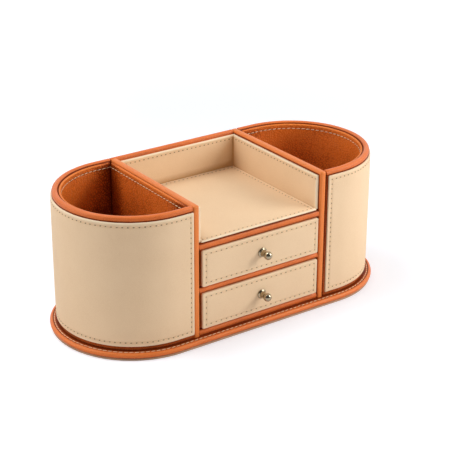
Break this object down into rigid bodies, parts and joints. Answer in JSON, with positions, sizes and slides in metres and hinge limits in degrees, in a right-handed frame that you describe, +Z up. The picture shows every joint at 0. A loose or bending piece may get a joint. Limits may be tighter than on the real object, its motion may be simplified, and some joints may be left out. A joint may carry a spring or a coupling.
{
  "type": "desk organizer",
  "caption": "Stadium-shaped leather-wrapped desk organizer: memo tray above pull-out drawers with ball knobs, between rounded end cups for pens, on a rolled-edge base.",
  "frame": {"origin": "centre of the underside of the non-slip sheet, which is the rest plane", "axes": "+X along the length to the right cup, -Y out of the front where the drawers open, +Z up"},
  "size_m": [0.29, 0.1403, 0.115],
  "materials": {
    "tan_leather": "tan orange grained leather on board, satin",
    "cup_leather": "tan orange grained leather lining, satin",
    "cream_leather": "cream grained leather, satin",
    "suede": "short-pile suede cloth, matt",
    "non_slip": "dark non-slip suede sheet, matt",
    "knob_metal": "pale gold plating, polished",
    "screw_steel": "plated steel",
    "thread": "waxed sewing thread, light cream"
  },
  "bodies": {
    "organizer": {"base_plate": "tan_leather", "base_sheet": "non_slip", "left_end_wall": "tan_leather", "right_end_wall": "tan_leather", "left_outer_panel": "cream_leather", "right_outer_panel": "cream_leather", "left_cup_curved_liner": "cup_leather", "right_cup_curved_liner": "cup_leather", "left_cup_flat_liner": "cup_leather", "right_cup_flat_liner": "cup_leather", "left_cup_floor_pad": "cup_leather", "right_cup_floor_pad": "cup_leather", "left_partition": "tan_leather", "right_partition": "tan_leather", "back_wall": "tan_leather", "back_outer_panel": "cream_leather", "bay_floor": "tan_leather", "drawer_divider": "tan_leather", "tray_shelf": "tan_leather", "tray_back_lining": "cream_leather", "tray_left_lining": "cream_leather", "tray_right_lining": "cream_leather", "tray_floor_pad": "cream_leather"},
    "upper_drawer": {"upper_drawer_face": "cream_leather", "upper_drawer_front_board": "cream_leather", "upper_drawer_left_side": "tan_leather", "upper_drawer_right_side": "tan_leather", "upper_drawer_back": "tan_leather", "upper_drawer_bottom": "tan_leather", "upper_drawer_lining": "suede", "upper_drawer_knob": "knob_metal", "upper_drawer_knob_screw": "screw_steel"},
    "lower_drawer": {"lower_drawer_face": "cream_leather", "lower_drawer_front_board": "cream_leather", "lower_drawer_left_side": "tan_leather", "lower_drawer_right_side": "tan_leather", "lower_drawer_back": "tan_leather", "lower_drawer_bottom": "tan_leather", "lower_drawer_lining": "suede", "lower_drawer_knob": "knob_metal", "lower_drawer_knob_screw": "screw_steel"}
  },
  "joints": [
    {"name": "upper_drawer_slide", "type": "slide", "parent": "organizer", "child": "upper_drawer", "axis": [0, -1, 0], "range_m": [0, 0.09]},
    {"name": "lower_drawer_slide", "type": "slide", "parent": "organizer", "child": "lower_drawer", "axis": [0, -1, 0], "range_m": [0, 0.09]}
  ]
}
